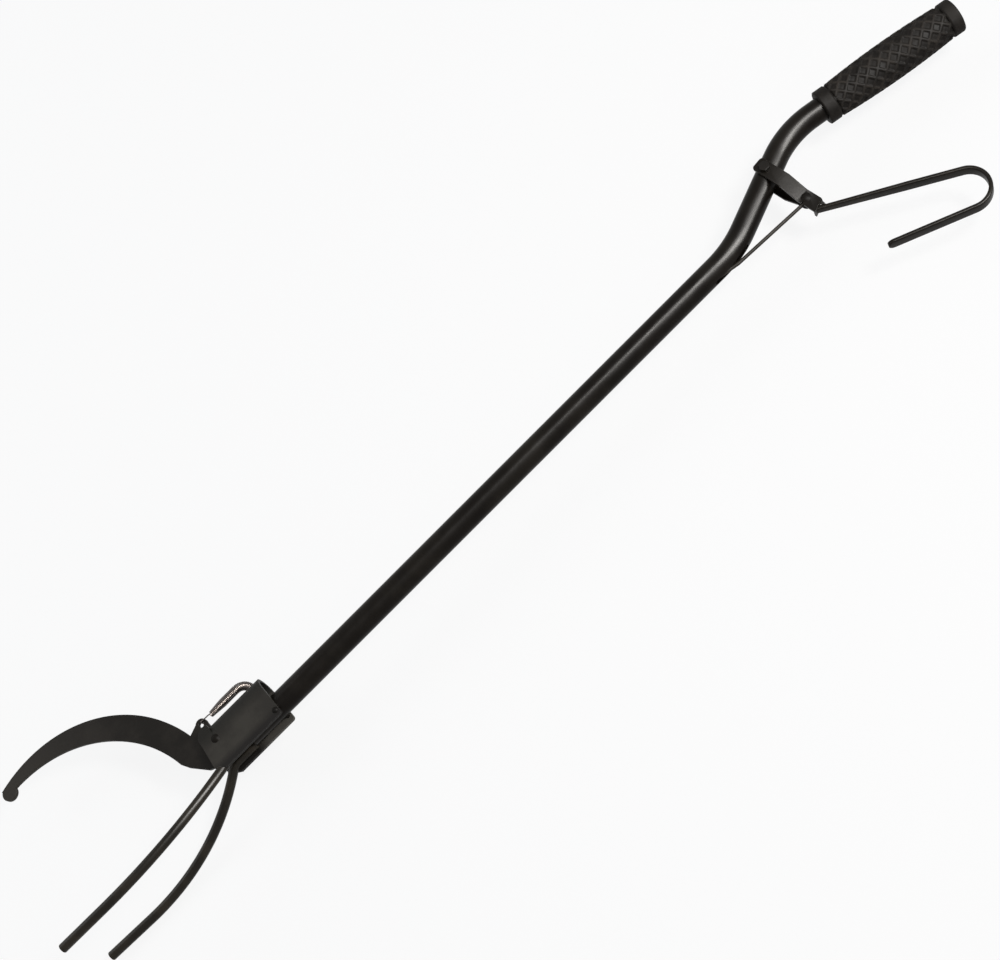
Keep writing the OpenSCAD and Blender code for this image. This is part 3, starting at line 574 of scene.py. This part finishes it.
def makePlate(name, look):
    bm = bmesh.new()
    bm.from_mesh(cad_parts[look["node"]].data)
    bmesh.ops.remove_doubles(bm, verts=bm.verts, dist=cadGap)
    # Points much closer than the round edge is wide can tear it, so they are welded first
    bmesh.ops.remove_doubles(bm, verts=bm.verts, dist=look["edge"] * look["weldShare"] * mm)
    bmesh.ops.dissolve_limit(bm, angle_limit=math.radians(look["flat"]), verts=bm.verts, edges=bm.edges)
    bevelAngle = math.radians(look["bevelFrom"])
    sharp = [edge for edge in bm.edges if edge.is_manifold and edge.calc_face_angle() > bevelAngle]
    bmesh.ops.bevel(bm, geom=sharp, offset=look["edge"] * mm, offset_type="OFFSET", clamp_overlap=True,
                    segments=look["roundSteps"], profile=0.5, affect="EDGES", material=-1)
    bmesh.ops.remove_doubles(bm, verts=bm.verts, dist=cadGap)
    piece = addPiece(name, bm, look["finish"], look["body"], look["node"], look["sharp"])
    piece.modifiers.new("weighted", "WEIGHTED_NORMAL").keep_sharp = True


for plateName, plateLook in plateLooks.items():
    makePlate(plateName, {**basePlate, **plateLook})
print("plates made")

# Squeeze lever
leverLook = dict(root=(342.01, -27.42), heading=-34.9, spare=6.2, thickness=3.4, rootWidth=7, width=10,
                 taper=70, upper=113.2, bendRadius=17.5, bend=-170.2, bendSteps=40, lower=71, corner=1.0,
                 cornerSteps=4, tipSteps=7, tipTurn=12, foldReach=53.7, foldSlant=16.3, sharp=40)


def makeLever(look):
    bm = bmesh.new()
    place = planePlace(*look["root"], look["heading"]) @ Matrix.Translation((-look["spare"] * mm, 0, 0))
    section = Matrix.Diagonal((look["rootWidth"] * mm, look["thickness"] * mm, 1, 1))
    bmesh.ops.create_grid(bm, x_segments=1, y_segments=1, size=0.5,
                          matrix=place @ Matrix.Rotation(math.pi / 2, 4, "Y") @ section)
    bmesh.ops.bevel(bm, geom=bm.verts[:], offset=look["corner"] * mm, offset_type="OFFSET",
                    segments=look["cornerSteps"], profile=0.5, affect="VERTICES", material=-1)
    bmesh.ops.delete(bm, geom=bm.faces[:], context="FACES_ONLY")
    start = bm.edges[:]
    half = look["width"] / 2
    path = [("run", look["spare"]), ("run", look["taper"], look["width"] / look["rootWidth"]),
            ("run", look["upper"] - look["taper"]),
            ("turn", look["bendRadius"], look["bend"], look["bendSteps"]),
            ("run", look["lower"] - half)]
    # The round tip gets narrower at each step
    for step in range(look["tipSteps"]):
        before, now = (math.radians(look["tipTurn"] * part) for part in (step, step + 1))
        path.append(("run", half * (math.sin(now) - math.sin(before)), math.cos(now) / math.cos(before)))
    end, _ = sweepLoop(bm, start, place, path)
    for loop in (start, end):
        bmesh.ops.edgeloop_fill(bm, edges=loop)
    # The root is cut along the strap's fold, where it is welded on
    straps = planePlace(*boltPlace, strapHeading)
    foldPoint = straps @ Vector((look["foldReach"] * mm, 0, 0))
    slant = math.radians(look["foldSlant"])
    foldNormal = straps.to_3x3() @ Vector((math.cos(slant), math.sin(slant), 0))
    cut = bmesh.ops.bisect_plane(bm, geom=bm.verts[:] + bm.edges[:] + bm.faces[:], plane_co=foldPoint,
                                 plane_no=foldNormal, clear_inner=True)["geom_cut"]
    bmesh.ops.edgeloop_fill(bm, edges=[item for item in cut if isinstance(item, bmesh.types.BMEdge)])
    closeMesh(bm)
    addPiece("squeezeLever", bm, "leverPaint", "trigger", "squeeze_lever", look["sharp"])


makeLever(leverLook)
print("lever made")

# Weld bead at the lever's root
weldLook = dict(voxel=0.28, smoothSteps=5, smoothing=0.5, ripple=0.16, pitch=1.5, slant=9, lump=0.22,
                lumpSize=2.2, sink=0.1, sharp=180)


def makeWeld(look):
    bm = bmesh.new()
    bm.from_mesh(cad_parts["lever_weld"].data)
    bmesh.ops.remove_doubles(bm, verts=bm.verts, dist=cadGap)
    bead = toolObject("weldShape", bm)
    remesh = bead.modifiers.new("remesh", "REMESH")
    remesh.mode = "VOXEL"
    remesh.voxel_size = look["voxel"] * mm
    applyModifiers(bead)
    bm = bmesh.new()
    bm.from_mesh(bead.data)
    bpy.data.objects.remove(bead)
    for _ in range(look["smoothSteps"]):
        bmesh.ops.smooth_vert(bm, verts=bm.verts, factor=look["smoothing"],
                              use_axis_x=True, use_axis_y=True, use_axis_z=True)
    bm.normal_update()
    # The bead's ripples and lumps stay inside the box of its CAD node
    low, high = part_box("lever_weld")
    for vert in bm.verts:
        slant = look["slant"] * (vert.co.x - low.x) / (high.x - low.x)
        ripple = math.sin(2 * math.pi * vert.co.z / (look["pitch"] * mm) + slant)
        lump = noise.noise(vert.co / (look["lumpSize"] * mm))
        vert.co += vert.normal * (look["ripple"] * ripple + look["lump"] * lump - look["sink"]) * mm
        vert.co = Vector(min(high[axis], max(low[axis], vert.co[axis])) for axis in range(3))
    addPiece("leverWeld", bm, "weldPaint", "trigger", "lever_weld", look["sharp"])


makeWeld(weldLook)
print("weld made")

# Hand grip
gripLook = dict(length=128.6, sides=192, stations=257, bore=10.22, boreDepth=122.6, collar=10.8,
                collarRadius=14.9, collarShade=0.8, bodyRadius=14.65, swell=2.0, endRound=1.8,
                frontRound=0.9, grooveDepth=0.9, grooveWidth=1.3, grooveFloor=0.3, starts=9,
                turnLength=91.5, lineGap=7.6, ridgeCore=0.55, ridgeFoot=1.75, hollowDepth=1.05, sharp=60)


def rimLoss(rounding, inside):
    # How much a round rim takes off the radius at a distance inside the end
    if inside >= rounding:
        return 0.0
    return rounding - math.sqrt(rounding ** 2 - (rounding - inside) ** 2)


def gripRadius(look, x, angle):
    # Radius of the rubber at a place along the grip and round it, and how deep it lies in a hollow, which
    # sets its painted shade
    length, collar = look["length"], look["collar"]
    if x < collar or x > length - collar:
        radius = look["collarRadius"]
        radius -= rimLoss(look["frontRound"], x)
        radius -= rimLoss(look["endRound"], length - x)
        hollow = look["collarShade"]
    else:
        middle = (x - length / 2) / (length / 2 - collar)
        radius = look["bodyRadius"] + look["swell"] * (1 - middle * middle)
        hollow = 1.0
        for hand in (1, -1):
            turns = look["starts"] * (angle / (2 * math.pi) + hand * x / look["turnLength"])
            off = abs(turns - round(turns)) * look["lineGap"]
            hollow = min(hollow, easeBetween(look["ridgeCore"], look["ridgeFoot"], off))
        radius -= look["hollowDepth"] * hollow
    inside = min(abs(x - collar), abs(x - (length - collar)))
    groove = 1 - easeBetween(look["grooveFloor"] * look["grooveWidth"], look["grooveWidth"], inside)
    return radius - look["grooveDepth"] * groove, max(hollow, groove)


def makeGrip(look):
    bm = bmesh.new()
    place = planePlace(*gripPlace, gripHeading)
    # A thin plain sleeve first, whose points then move out to the rubber's surface
    outer = roundLoop(bm, 1, look["sides"], place)
    edges, here = outer, place
    step = look["length"] / (look["stations"] - 1)
    for _ in range(look["stations"] - 1):
        edges, here = runLoop(bm, edges, here, step)
    bmesh.ops.edgeloop_fill(bm, edges=edges)
    # The hollow layer carries painted shade: into the hollows, the grooves and the collars
    hollowLayer = bm.verts.layers.float.new("hollow")
    back = place.inverted()
    for vert in bm.verts:
        local = back @ vert.co
        x, angle = local.x / mm, math.atan2(local.z, local.y)
        radius, hollow = gripRadius(look, min(max(x, 0.0), look["length"]), angle)
        vert.co = place @ Vector((local.x, radius * mm * math.cos(angle), radius * mm * math.sin(angle)))
        vert[hollowLayer] = hollow
    inner = roundLoop(bm, look["bore"], look["sides"], place)
    bore, _ = runLoop(bm, inner, place, look["boreDepth"])
    bmesh.ops.edgeloop_fill(bm, edges=bore)
    bmesh.ops.bridge_loops(bm, edges=outer + inner)
    closeMesh(bm)
    addPiece("handGrip", bm, "gripRubber", "frame", "hand_grip", look["sharp"])


makeGrip(gripLook)
print("grip made")

# Return spring
springLook = dict(wire=1.1, front=5.3, outside=7.6, taper=13.0, rise=38.4, start=-287.4, run=28.0,
                  bendRadius=11.3, bend=85.0, pitch=1.26, steps=16, lugX=-297.284, lugSide=2.85,
                  bendIn=0.9, hookTurns=(30, 60, 90), hookEnds=((1.6, 0.35), (0.7, 0.0)),
                  tailParts=(0.3, 0.6), tailSteps=4, under=25.2, hook=3.5, bevelSteps=2, sharp=60)


def springPath(look):
    turn = math.radians(look["bend"])
    arc = look["bendRadius"] * turn
    length = look["run"] + arc
    narrow, wide = (look["front"] - look["wire"]) / 2, (look["outside"] - look["wire"]) / 2
    reach = look["bendIn"]
    out = Vector((0, 0, 1))

    def station(along, angle):
        turned = turn * min(1, max(0, (along - look["run"]) / arc))
        way = Vector((math.cos(turned), -math.sin(turned), 0))
        side = Vector((math.sin(turned), math.cos(turned), 0))
        axis = Vector((look["start"] + min(along, look["run"]) + look["bendRadius"] * math.sin(turned),
                       look["rise"] - look["bendRadius"] * (1 - math.cos(turned)), 0))
        around = narrow + (wide - narrow) * min(1, along / look["taper"])
        return axis + around * (math.cos(angle) * side + math.sin(angle) * out), way

    samples = round(length / look["pitch"]) * look["steps"]
    coil = [station(length * i / samples, math.pi / 2 + 2 * math.pi * i / look["steps"])[0]
            for i in range(samples - look["steps"] // 4 + 1)]

    # The front hook comes through the lug's hole and bends back to the coil
    lug = Vector((look["lugX"], look["rise"], -look["lugSide"]))
    hook = [lug, lug + (look["lugSide"] - reach) * out, lug + (2 * look["lugSide"] - reach) * out]
    for angle in map(math.radians, look["hookTurns"]):
        hook.append(Vector((lug.x + reach * (1 - math.cos(angle)), lug.y,
                            look["lugSide"] - reach * (1 - math.sin(angle)))))
    for ahead, lift in look["hookEnds"]:
        hook.append(Vector((look["start"] - ahead, look["rise"], narrow + lift)))

    # The tail goes down through the crown's hole and hooks backwards under it
    last, way = station(length, 0)
    drop = (last.y - look["under"] - reach * (1 - math.cos(turn))) / math.sin(turn)
    bendX = last.x + drop * way.x
    tail = [last + part * drop * way for part in look["tailParts"]]
    for step in range(look["tailSteps"] + 1):
        angle = turn * (1 - step / look["tailSteps"])
        tail.append(Vector((bendX + reach * (math.sin(turn) - math.sin(angle)),
                            look["under"] + reach * (1 - math.cos(angle)), 0)))
    tail.append(tail[-1] + Vector((look["hook"], 0, 0)))
    return hook + coil + tail


def makeSpring(look):
    curve = bpy.data.curves.new("springWire", "CURVE")
    curve.dimensions = "3D"
    curve.bevel_depth = look["wire"] / 2 * mm
    curve.bevel_resolution = look["bevelSteps"]
    curve.use_fill_caps = True
    points = springPath(look)
    spline = curve.splines.new("POLY")
    spline.points.add(len(points) - 1)
    for point, place in zip(spline.points, points):
        point.co = (*(place * mm), 1)
    wire = bpy.data.objects.new("springWire", curve)
    scene.collection.objects.link(wire)
    shown = wire.evaluated_get(bpy.context.evaluated_depsgraph_get())
    mesh = bpy.data.meshes.new_from_object(shown)
    bpy.data.objects.remove(wire)
    bm = bmesh.new()
    bm.from_mesh(mesh)
    bpy.data.meshes.remove(mesh)
    closeMesh(bm)
    piece = addPiece("returnSpring", bm, "springZinc", None, "return_spring", look["sharp"])
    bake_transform(piece)


makeSpring(springLook)
print("spring made")

# CAD nodes that keep their own shape
nodeFinishes = {"channel_rivet": "rivetPaint", "jaw_pin": "rivetPaint", "near_spacer": "spacerSteel",
                "far_spacer": "spacerSteel", "rod_rivet": "rivetPaint", "pull_rod": "rodPaint",
                "rod_keeper": "spacerSteel"}
for nodeName, finishName in nodeFinishes.items():
    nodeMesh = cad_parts[nodeName].data
    nodeMesh.materials.clear()
    nodeMesh.materials.append(finishes[finishName])
print("CAD nodes finished:", len(nodeFinishes))

# Floor, light and camera
stageLook = dict(size=40.0, gap=0.6, floor=(0.86, 0.86, 0.86), glow=0.86, white=(1.0, 1.0, 1.0),
                 sky=(0.92, 0.95, 1.0), skyLight=0.42)
# The strip lamp only adds the long highlights; the others light the diffuse colours at a plain level
lampLooks = {
    "keyLamp": dict(place=(0.80, -0.58, 1.25), aim=(0.15, 0.0, 0.0), size=(0.34, 0.34), power=12.0,
                    colour=(1.0, 0.975, 0.94), diffuse=True),
    "stripLamp": dict(place=(0.86, -0.57, 1.23), aim=(0.31, 0.0, 0.0), size=(0.32, 1.6), power=165.0,
                      colour=(1.0, 0.975, 0.94), diffuse=False),
    "sideLamp": dict(place=(-1.3, 1.5, 1.3), aim=(0.0, 0.0, 0.0), size=(1.2, 1.2), power=14.0,
                     colour=(0.94, 0.97, 1.0), diffuse=True),
}


def seenByEye(tree):
    # Is 1 for rays from the camera and from glossy or clear surfaces, which see plain white all round
    path = addNode(tree, "LightPath").outputs
    direct = calc(tree, "MAXIMUM", path["Is Camera Ray"], path["Is Glossy Ray"])
    return calc(tree, "MAXIMUM", direct, path["Is Transmission Ray"])


def makeFloor(look):
    bm = bmesh.new()
    bmesh.ops.create_grid(bm, x_segments=1, y_segments=1, size=look["size"] / 2,
                          matrix=Matrix.Translation((0, 0, cadLow.z - look["gap"] * mm)))
    mesh = bpy.data.meshes.new("studioFloor")
    bm.to_mesh(mesh)
    bm.free()
    floor = bpy.data.objects.new("studioFloor", mesh)
    scene.collection.objects.link(floor)
    material = bpy.data.materials.new("floorPaper")
    material.use_nodes = True
    tree = material.node_tree
    tree.nodes.clear()
    paper = addNode(tree, "BsdfDiffuse", None, Color=rgba(look["floor"])).outputs[0]
    glow = addNode(tree, "Emission", None, Color=rgba(look["white"]), Strength=1.0).outputs[0]
    share = calc(tree, "MULTIPLY", seenByEye(tree), look["glow"])
    mixed = addNode(tree, "MixShader", None, i0=share, i1=paper, i2=glow).outputs[0]
    tree.links.new(mixed, tree.nodes.new("ShaderNodeOutputMaterial").inputs[0])
    mesh.materials.append(material)


def makeSky(look):
    world = bpy.data.worlds.new("studioSky")
    scene.world = world
    world.use_nodes = True
    tree = world.node_tree
    tree.nodes.clear()
    light = addNode(tree, "Background", None, Color=rgba(look["sky"]), Strength=look["skyLight"]).outputs[0]
    white = addNode(tree, "Background", None, Color=rgba(look["white"]), Strength=1.0).outputs[0]
    mixed = addNode(tree, "MixShader", None, i0=seenByEye(tree), i1=light, i2=white).outputs[0]
    tree.links.new(mixed, tree.nodes.new("ShaderNodeOutputWorld").inputs[0])


def makeLamp(name, look):
    lamp = bpy.data.lights.new(name, "AREA")
    lamp.shape = "RECTANGLE"
    lamp.size, lamp.size_y = look["size"]
    lamp.energy = look["power"]
    lamp.color = look["colour"]
    holder = bpy.data.objects.new(name, lamp)
    scene.collection.objects.link(holder)
    holder.location = look["place"]
    holder.visible_diffuse = look["diffuse"]
    ray = Vector(look["aim"]) - Vector(look["place"])
    holder.rotation_euler = ray.to_track_quat("-Z", "Y").to_euler()


cameraLook = dict(target=(12.5, 3.0, 0.0), distance=1350.0, tilt=28.0, lens=60.75, sensor=36.0)


def makeCamera(look):
    camera = bpy.data.cameras.new("photoCamera")
    camera.sensor_width = look["sensor"]
    camera.lens = look["lens"]
    holder = bpy.data.objects.new("photoCamera", camera)
    scene.collection.objects.link(holder)
    tilt = math.radians(look["tilt"])
    back = Vector((0, -math.sin(tilt), math.cos(tilt)))
    # Turned so that the shaft rises to the right at 45 degrees
    right = Vector((1, -math.cos(tilt), -math.sin(tilt))).normalized()
    up = back.cross(right)
    place = Vector(look["target"]) * mm + back * look["distance"] * mm
    turned = Matrix((right, up, back)).transposed().to_4x4()
    holder.matrix_world = Matrix.Translation(place) @ turned
    scene.camera = holder


makeFloor(stageLook)
makeSky(stageLook)
for lampName, lampLook in lampLooks.items():
    makeLamp(lampName, lampLook)
makeCamera(cameraLook)
print("floor, light and camera made")
